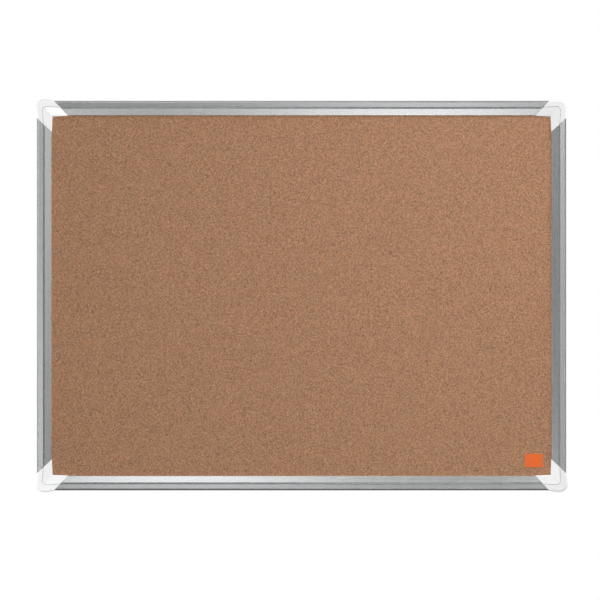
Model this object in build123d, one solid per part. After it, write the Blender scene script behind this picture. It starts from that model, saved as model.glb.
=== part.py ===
"""Cork bulletin board in an aluminium frame with plastic corners, hung on a wall by screws through the corners.

Everything is modelled lying on its back: x to the right, y up the board and z towards the viewer, with the
wall at z = 0. The last step stands it up, so that in the files +Z is up and the board faces -Y.
A corner or rail is drawn once in its own axes and turned into its four places.
"""

import math
import os

from build123d import *

# Overall sizes, in millimetres. Widths across a rail are measured inward from the frame's outer edge.
FRAME_W = 606.0
FRAME_H = 446.0
RAIL_FACE = 16.5
CORNER_REACH = 19.7
CUT_TAPER = 0.055

# Heights above the wall.
RAIL_BACK = 1.0
GROOVE_FLOOR = 12.4
PANEL_BACK = 2.3
CORK_FRONT = 10.5
SEAT = 10.6
CORNER_TOP = 15.6

# The panel, from the back: sheet, core, cork.
BACKING_T = 0.6
CORK_T = 2.6
PANEL_EDGE = 10.6
PANEL_CLIP = 33.0

# The corner's outline.
BULGE = 1.8
CORNER_R = 9.4
FLANK_R = 48.0
RIM_ROUND = 3.0

# The parting line between rim and cap, and the cap's inner edge.
LINE_VERTEX = 5.9
LINE_SLOPE = 0.07
LINE_R = 5.0
PARTING = 0.35
INNER_VERTEX = 17.8
INNER_SLOPE = -0.045
CAP_WALL = 1.3

# Tops of rim and cap: height at a width, and the fall inward per millimetre.
RIM_CREST_U = 1.3
RIM_FALL = 0.10
CAP_START_U = 6.6
CAP_START_Z = 15.1
CAP_FALL = 0.26
NOSE_U = 16.2
NOSE_FALL = 0.6
NOSE_TOP = 12.0
VALLEY_BLEND = 1.09

# Wall screw and its boss.
SCREW_AT = 12.5
WALL_HOLE_R = 2.4
HEAD_POCKET_R = 4.2
HEAD_POCKET_Z = 6.2
BOSS_CLIP = 32.2

# The legs that plug into the rails, and the screws that hold them.
CHAMBER = (1.3, 8.9, 2.2, 11.2)
LEG_GAP = 0.2
LEG_TOP = 9.8
LEG_END = 54.0
PAD_STARTS = (28.6, 48.5)
POCKET = (32.0, 40.5)
LEG_SCREW_AT = 44.0
LEG_SCREW_R = 1.25
LEG_SCREW_LENGTH = 6.6

# The clips that hold a cap on.
CLIP_U = 8.3
CLIP_AT = 22.8
CLIP_T = 1.2
CLIP_W = 4.4
CLIP_BOTTOM = 5.4
CLIP_GAP = 0.25

JOINT_GAP = 0.1
CAP_GAP = 0.15
RIM_EASE = 0.25
CAP_EASE = 0.3

# The blank tag on the cork.
TAG_W = 20.4
TAG_H = 15.1
TAG_T = 0.3
TAG_X = 266.1
TAG_Y = -188.9

CORNERS = {
    "bottom_left": (0, -FRAME_W / 2, -FRAME_H / 2),
    "bottom_right": (90, FRAME_W / 2, -FRAME_H / 2),
    "top_right": (180, FRAME_W / 2, FRAME_H / 2),
    "top_left": (270, -FRAME_W / 2, FRAME_H / 2),
}
RAILS = {
    "bottom": (0, 0, -FRAME_H / 2, FRAME_W),
    "right": (90, FRAME_W / 2, 0, FRAME_H),
    "top": (180, 0, FRAME_H / 2, FRAME_W),
    "left": (270, -FRAME_W / 2, 0, FRAME_H),
}
STAND_UP = Rot(90, 0, 0)
FAR = 60.0


def slab(face, low, high):
    """The plan face raised from one height to another."""
    return Pos(0, 0, low) * extrude(face, high - low)


def box(x0, x1, y0, y1, z0, z1):
    """A block between two corners."""
    return Pos((x0 + x1) / 2, (y0 + y1) / 2, (z0 + z1) / 2) * Box(x1 - x0, y1 - y0, z1 - z0)


def polygon(points):
    """A closed flat face through the points."""
    return make_face(Polyline(*points, close=True))


def swap(shape):
    """The same shape on the corner's other arm: mirrored in the corner's diagonal."""
    return mirror(shape, about=Plane(origin=(0, 0, 0), z_dir=(1, -1, 0)))


def cut_at(u, gap=0.0):
    """How far along an arm the cut between rail and corner lies, at a width, less a gap square to it."""
    slope = 1 - CUT_TAPER
    return CORNER_REACH + slope * u - gap * math.hypot(1, slope)


def write(shape, name):
    """Stands a shape up and writes it as one node."""
    export_step(STAND_UP * shape, os.path.join("parts", name + ".step"))


# ---------------------------------------------------------------- rails


def rail_section():
    """The extrusion's section: x is the width inward, y the height above the wall."""
    outline = polygon([
        (0.0, RAIL_BACK),
        (14.5, RAIL_BACK),
        (14.5, 2.2),
        (10.2, 2.2),
        (10.2, 10.6),
        (RAIL_FACE, 10.6),
        (RAIL_FACE, 11.9),
        (9.1, 14.1),
        (8.3, GROOVE_FLOOR),
        (7.8, GROOVE_FLOOR),
        (7.0, 14.25),
        (2.1, 15.0),
        (0.0, 12.9),
    ])
    rounds = {
        (0.0, RAIL_BACK): 0.6,
        (14.5, RAIL_BACK): 0.3,
        (RAIL_FACE, 11.9): 0.35,
        (9.1, 14.1): 0.2,
        (7.0, 14.25): 0.2,
        (2.1, 15.0): 0.4,
        (0.0, 12.9): 0.4,
    }
    for point, radius in rounds.items():
        corner = outline.vertices().sort_by_distance((*point, 0))[0]
        outline = fillet(corner, radius)
    u0, u1, z0, z1 = CHAMBER
    chamber = polygon([(u0, z0), (u1, z0), (u1, z1), (u0, z1)])
    return outline - fillet(chamber.vertices(), 0.4)


def pry_notch(length):
    """The little notch at a rail's left end, where a blade lifts the cap."""
    start = -length / 2
    low, high, reach = 5.3, 8.6, 1.9
    plan = polygon([
        (start + cut_at(low) - 1, low),
        (start + cut_at(low) + reach * 0.7, low),
        (start + cut_at(high) + reach, high),
        (start + cut_at(high) - 1, high),
    ])
    return slab(plan, GROOVE_FLOOR, 16.0)


def rail(length):
    """One mitred rail along x, its outer edge at y = 0, with screw holes through its back."""
    side = Plane(origin=(-length / 2, 0, 0), x_dir=(0, 1, 0), z_dir=(1, 0, 0))
    bar = extrude(side * rail_section(), length)
    start, inner = -length / 2, 30.0
    plan = polygon([
        (start + cut_at(0), 0),
        (-start - cut_at(0), 0),
        (-start - cut_at(inner), inner),
        (start + cut_at(inner), inner),
    ])
    bar &= slab(plan, 0, 20)
    notch = pry_notch(length)
    bar -= notch
    bar -= mirror(notch, about=Plane.YZ)
    for sign in (-1, 1):
        at = Pos(sign * (length / 2 - LEG_SCREW_AT), (CHAMBER[0] + CHAMBER[1]) / 2, 1.6)
        bar -= at * Cylinder(LEG_SCREW_R + 0.25, 1.6)
    return bar


# ---------------------------------------------------------------- corners


def outline_plan():
    """The corner's bulged outer outline, closed well inside the board."""
    tangent = CORNER_R - BULGE
    reach = 26.0
    sink = FLANK_R - math.sqrt(FLANK_R**2 - (reach - tangent) ** 2)
    middle = (reach + tangent) / 2
    middle_sink = FLANK_R - math.sqrt(FLANK_R**2 - (middle - tangent) ** 2)
    diagonal = tangent - CORNER_R / math.sqrt(2)
    ends = [(reach, sink - BULGE), (tangent, -BULGE), (-BULGE, tangent), (sink - BULGE, reach)]
    edges = [
        ThreePointArc(ends[0], (middle, middle_sink - BULGE), ends[1]),
        ThreePointArc(ends[1], (diagonal, diagonal), ends[2]),
        ThreePointArc(ends[2], (middle_sink - BULGE, middle), ends[3]),
        Polyline(ends[3], (ends[3][0], FAR), (FAR, FAR), (FAR, ends[0][1]), ends[0]),
    ]
    return make_face(edges)


def between_cuts(gap):
    """The band along the diagonal that the corner covers, short of each cut by the gap."""
    return polygon([
        (-10, -10),
        (cut_at(-10, gap), -10),
        (cut_at(FAR, gap), FAR),
        (FAR, cut_at(FAR, gap)),
        (-10, cut_at(-10, gap)),
    ])


def line_plan(gap):
    """Everything inside the parting line, moved inward by the gap."""
    vertex = LINE_VERTEX + gap
    end = vertex + LINE_SLOPE * (FAR - vertex)
    face = polygon([(vertex, vertex), (FAR, end), (FAR, FAR), (end, FAR)])
    return fillet(face.vertices().sort_by_distance((0, 0, 0))[0], LINE_R - gap)


def inner_plan():
    """Everything outside the cap's inner edge, which tapers to the rail's at the cuts."""
    end = INNER_VERTEX + INNER_SLOPE * (FAR - INNER_VERTEX)
    return polygon([
        (-20, -20),
        (FAR, -20),
        (FAR, end),
        (INNER_VERTEX, INNER_VERTEX),
        (end, FAR),
        (-20, FAR),
    ])


def below_slopes(start_u, start_z, fall, drop=0.0):
    """The space under two planes that fall inward from the outer edges and meet in a valley on the diagonal.

    A third plane softens the valley; it starts from nothing at the cap's inner corner and widens outward.
    """
    far_z = start_z - fall * (FAR - start_u)
    near_z = start_z + fall * (start_u + 20)
    wedge = polygon([(-20, -40), (FAR, -40), (FAR, far_z - drop), (-20, near_z - drop)])
    across = Plane(origin=(-20, 0, 0), x_dir=(0, 1, 0), z_dir=(1, 0, 0))
    one = extrude(across * wedge, FAR + 20)
    inner_z = start_z - fall * (INNER_VERTEX - start_u)
    rise = VALLEY_BLEND * fall / math.sqrt(2)
    run = INNER_VERTEX * math.sqrt(2)
    outer_z = inner_z + rise * (run + 20)
    blend_wedge = polygon([(-20, -40), (run, -40), (run, inner_z - drop), (-20, outer_z - drop)])
    root = math.sqrt(0.5)
    along = Plane(origin=(-40 * root, 40 * root, 0), x_dir=(root, root, 0), z_dir=(root, -root, 0))
    blend = extrude(along * blend_wedge, 80)
    return one + swap(one) + blend


def front_edges(shape, gap, lowest):
    """The front edges along the parting line and the two cuts, above a height."""
    picked = []
    for edge in shape.edges():
        at = edge.center()
        near, far = min(at.X, at.Y), max(at.X, at.Y)
        on_cut = abs(far - cut_at(near, gap)) < 0.02 and abs(edge.tangent_at(0.5).Z) < 0.9
        on_line = at.Z > CORNER_TOP - 0.7 and near > LINE_VERTEX + 0.4
        if at.Z > lowest and (on_cut or on_line):
            picked.append(edge)
    return picked


def rim():
    """The raised outer rim of a corner, rounded at the front, down to the seat."""
    full = slab(outline_plan(), SEAT - 1, CORNER_TOP)
    curved = [e for e in full.edges() if e.geom_type == GeomType.CIRCLE and e.center().Z > CORNER_TOP - 0.01]
    full = fillet(curved, RIM_ROUND)
    full &= slab(between_cuts(JOINT_GAP), 0, 20)
    full -= slab(line_plan(0.0), 0, 20)
    full &= below_slopes(RIM_CREST_U, CORNER_TOP, RIM_FALL)
    return fillet(front_edges(full, JOINT_GAP, CORNER_TOP - 0.7), RIM_EASE)


def leg():
    """One leg: a bar that fills the rail's chamber, with pads on top, a pocket and a pilot hole."""
    u0, u1, z0, z1 = CHAMBER
    u0, u1, z0, z1 = u0 + LEG_GAP, u1 - LEG_GAP, z0 + LEG_GAP, z1 - LEG_GAP
    bar = box(8, LEG_END, u0, u1, z0, LEG_TOP)
    tip = bar.edges().filter_by(GeomType.LINE).group_by(Axis.X)[-1]
    bar = chamfer(tip, 1.0)
    for start in PAD_STARTS:
        bar += box(start, start + 2.5, u0 + 0.6, u1 - 0.6, LEG_TOP - 1, z1)
    bar -= box(POCKET[0], POCKET[1], u0 + 1.3, u1 - 1.3, z0 + 1.5, LEG_TOP + 1)
    middle = (u0 + u1) / 2
    pilot = Pos(LEG_SCREW_AT, middle, z0 + LEG_SCREW_LENGTH / 2) * Cylinder(LEG_SCREW_R, LEG_SCREW_LENGTH)
    return bar - pilot


def corner_body():
    """A corner's fixed moulding: rear flange, outer wall, wall-screw boss, seat, rim and two legs."""
    covered = outline_plan() & between_cuts(JOINT_GAP)
    wall_plan = covered - polygon([(10.2, 10.2), (FAR, 10.2), (FAR, FAR), (10.2, FAR)])
    boss_plan = covered & polygon([(0, 0), (BOSS_CLIP, 0), (0, BOSS_CLIP)])
    boss_plan &= polygon([(5, 5), (25, 5), (25, 25), (5, 25)])
    flange_plan = covered - polygon([(14.5, 14.5), (FAR, 14.5), (FAR, FAR), (14.5, FAR)])
    body = slab(wall_plan, 0, SEAT) + slab(boss_plan, 0, SEAT) + slab(flange_plan, 0, PANEL_BACK - 0.1)
    body += rim()
    one_leg = leg()
    body += one_leg + swap(one_leg)
    body -= Pos(SCREW_AT, SCREW_AT, SEAT / 2) * Cylinder(WALL_HOLE_R, SEAT + 2)
    body -= Pos(SCREW_AT, SCREW_AT, HEAD_POCKET_Z + 2.5) * Cylinder(HEAD_POCKET_R, 5)
    slot = box(
        CLIP_AT - CLIP_W / 2 - CLIP_GAP,
        CLIP_AT + CLIP_W / 2 + CLIP_GAP,
        CLIP_U - CLIP_T / 2 - CLIP_GAP,
        CLIP_U + CLIP_T / 2 + CLIP_GAP,
        CLIP_BOTTOM - 0.4,
        SEAT + 2,
    )
    return body - slot - swap(slot)


def cap_shell(inset, drop):
    """The cap's solid shape, drawn in by an inset and lowered by a drop, for its outside and its hollow."""
    plan = line_plan(PARTING + inset) & between_cuts(CAP_GAP + inset)
    inner = inner_plan() if inset == 0 else Pos(-inset, -inset, 0) * inner_plan()
    solid = slab(plan & inner, SEAT + 0.1, 20)
    solid &= below_slopes(CAP_START_U, CAP_START_Z, CAP_FALL, drop)
    nose_z = CAP_START_Z - CAP_FALL * (NOSE_U - CAP_START_U)
    return solid & below_slopes(NOSE_U, nose_z, NOSE_FALL, drop)


def cap():
    """The clip-on cap: a thin shell with a sloping, mitred top and two clips under it."""
    outside = cap_shell(0, 0)
    outside = chamfer(front_edges(outside, CAP_GAP, NOSE_TOP), CAP_EASE)
    shell = outside - cap_shell(CAP_WALL, CAP_WALL + 0.2)
    clip = box(
        CLIP_AT - CLIP_W / 2,
        CLIP_AT + CLIP_W / 2,
        CLIP_U - CLIP_T / 2,
        CLIP_U + CLIP_T / 2,
        CLIP_BOTTOM,
        CORNER_TOP - 2.0,
    )
    lead_in = clip.edges().group_by(Axis.Z)[0].filter_by(Axis.X)
    clip = chamfer(lead_in, 0.35)
    return shell + clip + swap(clip)


def leg_screw():
    """A pan-head self-tapping screw with a cross recess, driven from the back, pointing up z."""
    head_r, head_t = 2.9, 0.85
    head = Pos(0, 0, RAIL_BACK - head_t / 2) * Cylinder(head_r, head_t)
    head = fillet(head.edges().group_by(Axis.Z)[0], 0.5)
    z0 = CHAMBER[2] + LEG_GAP
    shank = Pos(0, 0, (RAIL_BACK + z0 + LEG_SCREW_LENGTH) / 2) * Cylinder(
        LEG_SCREW_R, z0 + LEG_SCREW_LENGTH - RAIL_BACK
    )
    screw = head + shank
    for turn in (0, 90):
        screw -= Rot(0, 0, turn) * box(-1.6, 1.6, -0.3, 0.3, 0, 0.6)
    return screw


# ---------------------------------------------------------------- panel


def panel_layer(low, high):
    """One layer of the panel, with its corners clipped clear of the wall-screw bosses."""
    half_w = FRAME_W / 2 - PANEL_EDGE
    half_h = FRAME_H / 2 - PANEL_EDGE
    clip = PANEL_CLIP - 2 * PANEL_EDGE
    plan = Rectangle(2 * half_w, 2 * half_h)
    return slab(chamfer(plan.vertices(), clip), low, high)


def tag():
    """A plain rectangular tag stuck on the cork."""
    plan = fillet(Rectangle(TAG_W, TAG_H).vertices(), 1.0)
    return Pos(TAG_X, TAG_Y, 0) * slab(plan, CORK_FRONT, CORK_FRONT + TAG_T)


# ---------------------------------------------------------------- assembly


def main():
    os.makedirs("parts", exist_ok=True)

    core_back = PANEL_BACK + BACKING_T
    core_front = CORK_FRONT - CORK_T
    write(panel_layer(PANEL_BACK, core_back), "backing_sheet")
    write(panel_layer(core_back, core_front), "softboard_core")
    write(panel_layer(core_front, CORK_FRONT), "cork_sheet")
    write(tag(), "blank_tag")

    for name, (turn, x, y, length) in RAILS.items():
        write(Pos(x, y, 0) * Rot(0, 0, turn) * rail(length), "rail_" + name)

    body, lid, screw = corner_body(), cap(), leg_screw()
    leg_middle = (CHAMBER[0] + CHAMBER[1]) / 2
    screws = Compound([Pos(LEG_SCREW_AT, leg_middle, 0) * screw, Pos(leg_middle, LEG_SCREW_AT, 0) * screw])
    for name, (turn, x, y) in CORNERS.items():
        place = Pos(x, y, 0) * Rot(0, 0, turn)
        write(place * body, "corner_" + name)
        write(place * lid, "cap_" + name)
        write(place * screws, "leg_screws_" + name)


main()
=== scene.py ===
"""Looks for the cork bulletin board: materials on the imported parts, a floor, studio lights and a camera.

Lengths are in metres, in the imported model's frame: +X to the right, +Z up, and the cork faces -Y.
"""

import math

import bpy
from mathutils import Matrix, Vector


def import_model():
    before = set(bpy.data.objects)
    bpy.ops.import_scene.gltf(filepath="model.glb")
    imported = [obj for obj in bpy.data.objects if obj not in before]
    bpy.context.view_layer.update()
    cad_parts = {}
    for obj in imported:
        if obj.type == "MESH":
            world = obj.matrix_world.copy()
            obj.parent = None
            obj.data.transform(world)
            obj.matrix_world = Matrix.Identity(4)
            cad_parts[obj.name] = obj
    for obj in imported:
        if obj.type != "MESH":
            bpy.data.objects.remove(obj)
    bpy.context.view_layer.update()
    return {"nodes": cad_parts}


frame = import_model()
nodes = frame["nodes"]

CORNERS = ("top_left", "top_right", "bottom_left", "bottom_right")


class Graph:
    """A material's node graph, built one node at a time."""

    def __init__(self, name):
        self.material = bpy.data.materials.new(name)
        self.material.use_nodes = True
        self.tree = self.material.node_tree
        self.tree.nodes.clear()
        self.shader = self.add("ShaderNodeBsdfPrincipled")
        output = self.add("ShaderNodeOutputMaterial")
        self.join(self.shader.outputs["BSDF"], output.inputs["Surface"])
        self.place = self.add("ShaderNodeTexCoord").outputs["Object"]

    def add(self, kind, **settings):
        node = self.tree.nodes.new(kind)
        for key, value in settings.items():
            setattr(node, key, value)
        return node

    def join(self, source, target):
        self.tree.links.new(source, target)

    def feed(self, node, inputs):
        """Sets each named or numbered input: a socket is linked, anything else is its value."""
        for key, value in inputs.items():
            if isinstance(value, bpy.types.NodeSocket):
                self.join(value, node.inputs[key])
            else:
                node.inputs[key].default_value = value
        return node

    def set(self, **inputs):
        """Settings on the shader itself, with underscores for spaces."""
        self.feed(self.shader, {key.replace("_", " "): value for key, value in inputs.items()})

    def maths(self, operation, a, b=0.0, clamp=False):
        node = self.add("ShaderNodeMath", operation=operation, use_clamp=clamp)
        return self.feed(node, {0: a, 1: b}).outputs[0]

    def vector(self, operation, a, b):
        node = self.add("ShaderNodeVectorMath", operation=operation)
        return self.feed(node, {0: a, 1: b}).outputs[0]

    def noise(self, place, scale, detail=2.0, roughness=0.5):
        node = self.add("ShaderNodeTexNoise")
        return self.feed(node, {"Vector": place, "Scale": scale, "Detail": detail, "Roughness": roughness})

    def cells(self, place, scale, feature="F1"):
        node = self.add("ShaderNodeTexVoronoi", feature=feature)
        return self.feed(node, {"Vector": place, "Scale": scale, "Randomness": 1.0})

    def channels(self, colour):
        """A colour's red, green and blue as separate outputs."""
        node = self.add("ShaderNodeSeparateColor")
        return self.feed(node, {0: colour}).outputs

    def spread(self, value, low, high, from_low=0.0, from_high=1.0):
        """Maps a value from one range to another."""
        node = self.add("ShaderNodeMapRange")
        return self.feed(node, {0: value, 1: from_low, 2: from_high, 3: low, 4: high}).outputs[0]

    def ramp(self, value, stops):
        node = self.add("ShaderNodeValToRGB")
        elements = node.color_ramp.elements
        while len(elements) < len(stops):
            elements.new(0.5)
        for element, (position, colour) in zip(elements, stops):
            element.position = position
            element.color = (*colour, 1.0)
        return self.feed(node, {"Fac": value}).outputs["Color"]

    def mix(self, amount, a, b, blend="MIX"):
        node = self.add("ShaderNodeMix", data_type="RGBA", blend_type=blend)
        return self.feed(node, {0: amount, 6: a, 7: b}).outputs[2]

    def bump(self, height, strength, distance):
        node = self.add("ShaderNodeBump")
        self.feed(node, {"Height": height, "Strength": strength, "Distance": distance})
        self.join(node.outputs["Normal"], self.shader.inputs["Normal"])


def scaled(colour, factor):
    return tuple(channel * factor for channel in colour)


# ---------------------------------------------------------------- materials

CORK = (0.410, 0.229, 0.133)
# Cells a metre: coarse and fine granules, and bark flecks.
COARSE, FINE, FLECK = 1400.0, 2600.0, 800.0
WOBBLE = 0.0008


def cork():
    """Pressed cork: granules up to about a millimetre, each its own brown, with dark bark flecks and pale ones."""
    g = Graph("cork")
    wobble = g.noise(g.place, 1100.0, 2.0).outputs["Color"]
    wobble = g.vector("MULTIPLY", g.vector("SUBTRACT", wobble, (0.5, 0.5, 0.5)), (WOBBLE, WOBBLE, WOBBLE))
    place = g.vector("ADD", g.place, wobble)
    coarse = g.cells(place, COARSE)
    fine = g.cells(place, FINE)
    tone_a = g.channels(coarse.outputs["Color"])
    tone_b = g.channels(fine.outputs["Color"])
    grain = g.noise(place, 2600.0, 3.0, 0.6).outputs["Fac"]
    tone = g.maths("ADD", g.maths("MULTIPLY", tone_a[0], 0.26), g.maths("MULTIPLY", tone_b[1], 0.48))
    tone = g.maths("ADD", tone, g.maths("MULTIPLY", grain, 0.26))
    colour = g.ramp(
        tone,
        [
            (0.18, scaled(CORK, 0.08)),
            (0.38, scaled(CORK, 0.66)),
            (0.52, scaled(CORK, 1.10)),
            (0.80, scaled(CORK, 1.82)),
        ],
    )
    warm = g.noise(place, 420.0, 1.0).outputs["Fac"]
    redder = g.mix(1.0, colour, (1.06, 0.95, 0.86, 1.0), "MULTIPLY")
    colour = g.mix(g.spread(warm, 0.0, 1.0, 0.42, 0.66), colour, redder)
    flecks = g.cells(place, FLECK)
    fleck_tone = g.channels(flecks.outputs["Color"])
    core = g.spread(flecks.outputs["Distance"], 1.0, 0.0, 0.10, 0.22)
    dark = g.maths("MULTIPLY", core, g.maths("GREATER_THAN", fleck_tone[0], 0.70))
    pale = g.maths("MULTIPLY", core, g.maths("LESS_THAN", fleck_tone[0], 0.16))
    colour = g.mix(g.maths("MULTIPLY", dark, 0.62), colour, (*scaled(CORK, 0.36), 1.0))
    colour = g.mix(g.maths("MULTIPLY", pale, 0.42), colour, (*scaled(CORK, 1.75), 1.0))
    height = g.maths("SUBTRACT", grain, g.maths("MULTIPLY", coarse.outputs["Distance"], 0.8))
    height = g.maths("SUBTRACT", height, g.maths("MULTIPLY", dark, 0.7))
    g.set(Base_Color=colour, Roughness=g.spread(grain, 0.80, 0.95))
    g.shader.inputs["Specular IOR Level"].default_value = 0.25
    g.bump(height, 0.35, 0.0003)
    return g.material


def softboard():
    """The fibre core: pale brown felted fibres, seen only at an open joint."""
    g = Graph("softboard")
    fibres = g.noise(g.vector("MULTIPLY", g.place, (240.0, 1400.0, 500.0)), 1.0, 4.0, 0.65).outputs["Fac"]
    clumps = g.noise(g.place, 90.0, 3.0).outputs["Fac"]
    tone = g.maths("ADD", g.maths("MULTIPLY", fibres, 0.7), g.maths("MULTIPLY", clumps, 0.3))
    colour = g.ramp(tone, [(0.3, (0.26, 0.17, 0.09)), (0.7, (0.46, 0.33, 0.20))])
    g.set(Base_Color=colour, Roughness=g.spread(fibres, 0.85, 0.97))
    g.bump(fibres, 0.5, 0.0003)
    return g.material


def backing_paper():
    """Kraft paper: fine fibres both ways, a faint cloud and short darker hairs."""
    g = Graph("backing_paper")
    across = g.noise(g.vector("MULTIPLY", g.place, (160.0, 900.0, 1300.0)), 1.0, 3.0, 0.6).outputs["Fac"]
    along = g.noise(g.vector("MULTIPLY", g.place, (1300.0, 900.0, 160.0)), 1.0, 3.0, 0.6).outputs["Fac"]
    cloud = g.noise(g.place, 16.0, 3.0).outputs["Fac"]
    tone = g.maths("ADD", g.maths("MULTIPLY", across, 0.4), g.maths("MULTIPLY", along, 0.3))
    tone = g.maths("ADD", tone, g.maths("MULTIPLY", cloud, 0.3))
    colour = g.ramp(tone, [(0.32, (0.27, 0.18, 0.10)), (0.52, (0.40, 0.27, 0.16)), (0.70, (0.50, 0.36, 0.23))])
    hair = g.spread(along, 0.0, 0.45, 0.66, 0.74)
    colour = g.mix(hair, colour, (0.17, 0.11, 0.06, 1.0))
    g.set(Base_Color=colour, Roughness=g.spread(across, 0.70, 0.88))
    g.bump(tone, 0.25, 0.0002)
    return g.material


METAL = (0.595, 0.605, 0.609)
METAL_ROUGH = 0.27


def aluminium(name, stretch):
    """Satin anodised extrusion: fine die lines that run along the rail, a little uneven in tone and gloss."""
    g = Graph(name)
    lines = g.noise(g.vector("MULTIPLY", g.place, stretch), 1.0, 3.0, 0.7).outputs["Fac"]
    hairline = g.noise(g.vector("MULTIPLY", g.place, scaled(stretch, 3.1)), 1.0, 2.0, 0.7).outputs["Fac"]
    cloud = g.noise(g.place, 30.0, 2.0).outputs["Fac"]
    tone = g.maths("ADD", g.maths("MULTIPLY", lines, 0.55), g.maths("MULTIPLY", hairline, 0.45))
    colour = g.ramp(tone, [(0.28, scaled(METAL, 0.97)), (0.72, scaled(METAL, 1.025))])
    rough = g.maths("ADD", g.spread(tone, METAL_ROUGH - 0.02, METAL_ROUGH + 0.03, 0.3, 0.7),
                    g.spread(cloud, -0.015, 0.015))
    g.set(Base_Color=colour, Metallic=1.0, Roughness=rough)
    g.bump(tone, 0.006, 0.00005)
    return g.material


def white_plastic(name, tint, shift):
    """Glossy moulded plastic: near white, with faint flow marks and a trace of orange peel in the gloss."""
    g = Graph(name)
    place = g.vector("ADD", g.place, (shift, 0.0, shift))
    flow = g.noise(g.vector("MULTIPLY", place, (1.0, 2.0, 1.6)), 45.0, 3.0, 0.55).outputs["Fac"]
    peel = g.noise(place, 520.0, 2.0).outputs["Fac"]
    colour = g.ramp(flow, [(0.30, scaled(tint, 0.985)), (0.70, tint)])
    g.set(Base_Color=colour, Roughness=g.spread(peel, 0.20, 0.30, 0.3, 0.7))
    g.shader.inputs["IOR"].default_value = 1.50
    g.bump(peel, 0.05, 0.0001)
    return g.material


def zinc():
    """Zinc-plated screw: bright, slightly yellow where the plating is thin, with fine turning marks."""
    g = Graph("screw_zinc")
    patches = g.noise(g.place, 650.0, 3.0).outputs["Fac"]
    marks = g.noise(g.place, 4200.0, 2.0).outputs["Fac"]
    colour = g.ramp(patches, [(0.35, (0.60, 0.61, 0.62)), (0.65, (0.76, 0.75, 0.71))])
    g.set(Base_Color=colour, Metallic=1.0, Roughness=g.spread(marks, 0.24, 0.42, 0.3, 0.7))
    g.bump(marks, 0.12, 0.00008)
    return g.material


def tag_plastic():
    """The blank tag: printed film in plain orange, a little mottled, with a soft satin gloss."""
    g = Graph("tag_plastic")
    mottle = g.noise(g.place, 380.0, 3.0).outputs["Fac"]
    colour = g.ramp(mottle, [(0.30, (0.84, 0.128, 0.006)), (0.70, (0.90, 0.150, 0.010))])
    g.set(Base_Color=colour, Roughness=g.spread(mottle, 0.42, 0.56, 0.3, 0.7))
    g.shader.inputs["Specular IOR Level"].default_value = 0.25
    g.bump(mottle, 0.06, 0.0001)
    return g.material


def dress(names, material):
    """Gives each CAD node the material, in every slot it has."""
    for name in names:
        slots = nodes[name].data.materials
        slots.clear()
        slots.append(material)


ALONG_X = (7.0, 900.0, 900.0)
ALONG_Z = (900.0, 900.0, 7.0)
dress(["cork_sheet"], cork())
dress(["softboard_core"], softboard())
dress(["backing_sheet"], backing_paper())
dress(["blank_tag"], tag_plastic())
dress(["rail_top", "rail_bottom"], aluminium("aluminium_across", ALONG_X))
dress(["rail_left", "rail_right"], aluminium("aluminium_upright", ALONG_Z))
dress(["corner_" + name for name in CORNERS], white_plastic("corner_plastic", (0.925, 0.931, 0.931), 0.0))
dress(["cap_" + name for name in CORNERS], white_plastic("cap_plastic", (0.937, 0.942, 0.942), 0.37))
dress(["leg_screws_" + name for name in CORNERS], zinc())


# ---------------------------------------------------------------- floor

FLOOR_Z = -1.25
FLOOR_RADIUS = 2.1


def floor():
    """A round pale floor well below the board, out of the camera's view, that throws no light back on it."""
    mesh = bpy.data.meshes.new("floor")
    count = 96
    ring = [
        (FLOOR_RADIUS * math.cos(2 * math.pi * i / count), FLOOR_RADIUS * math.sin(2 * math.pi * i / count), FLOOR_Z)
        for i in range(count)
    ]
    mesh.from_pydata(ring, [], [list(range(count))])
    piece = bpy.data.objects.new("floor", mesh)
    bpy.context.scene.collection.objects.link(piece)
    g = Graph("floor")
    cloud = g.noise(g.place, 3.0, 2.0).outputs["Fac"]
    g.set(Base_Color=g.ramp(cloud, [(0.3, (0.80, 0.80, 0.80)), (0.7, (0.84, 0.84, 0.84))]), Roughness=0.7)
    mesh.materials.append(g.material)
    piece.visible_diffuse = False
    piece.visible_glossy = False
    return piece


ground = floor()


# ---------------------------------------------------------------- lights

WORLD = 0.2
FLOOR_LIGHT = 2.6
RAILS = ["rail_top", "rail_bottom", "rail_left", "rail_right"]
PLASTICS = ["corner_" + name for name in CORNERS] + ["cap_" + name for name in CORNERS]
FACE = ["cork_sheet", "blank_tag"]
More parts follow.
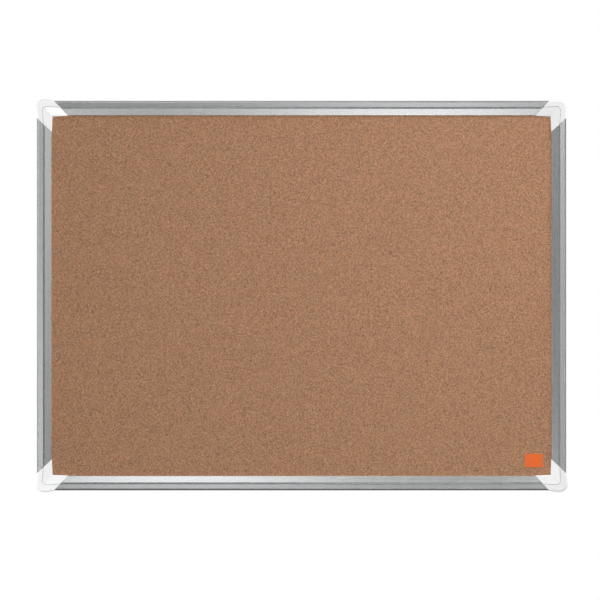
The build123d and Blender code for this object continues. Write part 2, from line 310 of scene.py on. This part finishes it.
# What a rig lights (nothing named means everything), then each lamp's place, size and power.
RIGS = [
    (RAILS, [
        ((1.1, -0.5, 1.1), 0.8, 14.91),
        ((1.05, -1.6, 1.0), 0.42, 12.20),
        ((-1.4, -0.5, 0.0), 0.9, 5.63),
        ((0.0, -0.5, 1.3), 0.9, 3.97),
        ((1.4, -0.5, 0.0), 0.9, 3.20),
        ((0.2, -1.6, -1.0), 0.42, 2.49),
        ((-0.2, -1.6, 0.6), 0.42, 1.44),
        ((-0.6, -1.6, -0.6), 0.42, 1.05),
        ((0.2, -1.6, -0.2), 0.42, 0.62),
        ((0.6, -1.6, 0.2), 0.42, 0.31),
        ((-0.2, -1.6, 0.2), 0.42, 0.29),
    ]),
    (PLASTICS, [
        ((-1.4, -0.5, 0.0), 0.9, 11.50),
        ((1.1, -0.5, 1.1), 0.8, 11.37),
        ((1.4, -0.5, 0.0), 0.9, 6.65),
        ((-0.6, -1.6, -0.6), 0.42, 7.60),
        ((0.0, -0.5, 1.3), 0.9, 5.03),
        ((0.0, -0.5, -1.1), 0.7, 3.09),
    ]),
    (FACE, [
        ((1.1, -0.5, 1.1), 0.8, 17.0),
        ((0.2, -1.6, -0.2), 0.42, 7.0),
        ((0.2, -1.6, 0.2), 0.42, 5.6),
    ]),
    ([], [
        ((-0.9, 2.2, 0.5), 1.8, 22.0),
        ((0.9, 2.2, 0.5), 1.8, 22.0),
    ]),
]


def area_light(name, place, size, power, lit=None):
    """A square soft light aimed at the middle of the board, not itself seen, on one collection or on everything."""
    data = bpy.data.lights.new(name, "AREA")
    data.size = size
    data.energy = power
    lamp = bpy.data.objects.new(name, data)
    lamp.location = place
    lamp.rotation_euler = (-Vector(place)).to_track_quat("-Z", "Y").to_euler()
    lamp.visible_camera = False
    if lit is not None:
        lamp.light_linking.receiver_collection = lit
    bpy.context.scene.collection.objects.link(lamp)


def rig(number, names, lamps):
    """The lamps of one rig, which light only the nodes named."""
    lit = None
    if names:
        lit = bpy.data.collections.new("lit_%d" % number)
        for name in names:
            lit.objects.link(nodes[name])
    for count, (place, size, power) in enumerate(lamps):
        area_light("lamp_%d_%d" % (number, count), place, size, power, lit)


def floor_light():
    """An even light straight down that only the floor receives."""
    lit = bpy.data.collections.new("lit_floor")
    lit.objects.link(ground)
    data = bpy.data.lights.new("floor_light", "SUN")
    data.energy = FLOOR_LIGHT
    lamp = bpy.data.objects.new("floor_light", data)
    lamp.light_linking.receiver_collection = lit
    bpy.context.scene.collection.objects.link(lamp)


def world():
    """A plain white surround to the eye, and an even grey studio as a source of light."""
    made = bpy.data.worlds.new("studio")
    made.use_nodes = True
    tree = made.node_tree
    tree.nodes.clear()
    output = tree.nodes.new("ShaderNodeOutputWorld")
    seen = tree.nodes.new("ShaderNodeBackground")
    seen.inputs["Color"].default_value = (1.0, 1.0, 1.0, 1.0)
    lit = tree.nodes.new("ShaderNodeBackground")
    lit.inputs["Color"].default_value = (1.0, 1.0, 1.0, 1.0)
    lit.inputs["Strength"].default_value = WORLD
    path = tree.nodes.new("ShaderNodeLightPath")
    choose = tree.nodes.new("ShaderNodeMixShader")
    tree.links.new(path.outputs["Is Camera Ray"], choose.inputs[0])
    tree.links.new(lit.outputs[0], choose.inputs[1])
    tree.links.new(seen.outputs[0], choose.inputs[2])
    tree.links.new(choose.outputs[0], output.inputs["Surface"])
    bpy.context.scene.world = made


world()
for number, (names, lamps) in enumerate(RIGS):
    rig(number, names, lamps)
floor_light()


# ---------------------------------------------------------------- camera

SENSOR = 36.0
DISTANCE = 4.3
FRONT = -0.0128
AIM_X, AIM_Z = -0.0018, -0.0050
VIEW_WIDTH = 0.68695


def camera():
    """A long lens square on to the board, which sits a little above the middle of the picture."""
    data = bpy.data.cameras.new("camera")
    data.sensor_width = SENSOR
    data.lens = SENSOR * DISTANCE / VIEW_WIDTH
    made = bpy.data.objects.new("camera", data)
    made.location = (AIM_X, FRONT - DISTANCE, AIM_Z)
    made.rotation_euler = (math.radians(90.0), 0.0, 0.0)
    bpy.context.scene.collection.objects.link(made)
    bpy.context.scene.camera = made


camera()
bpy.context.scene.view_settings.view_transform = "Standard"
bpy.context.scene.view_settings.look = "None"
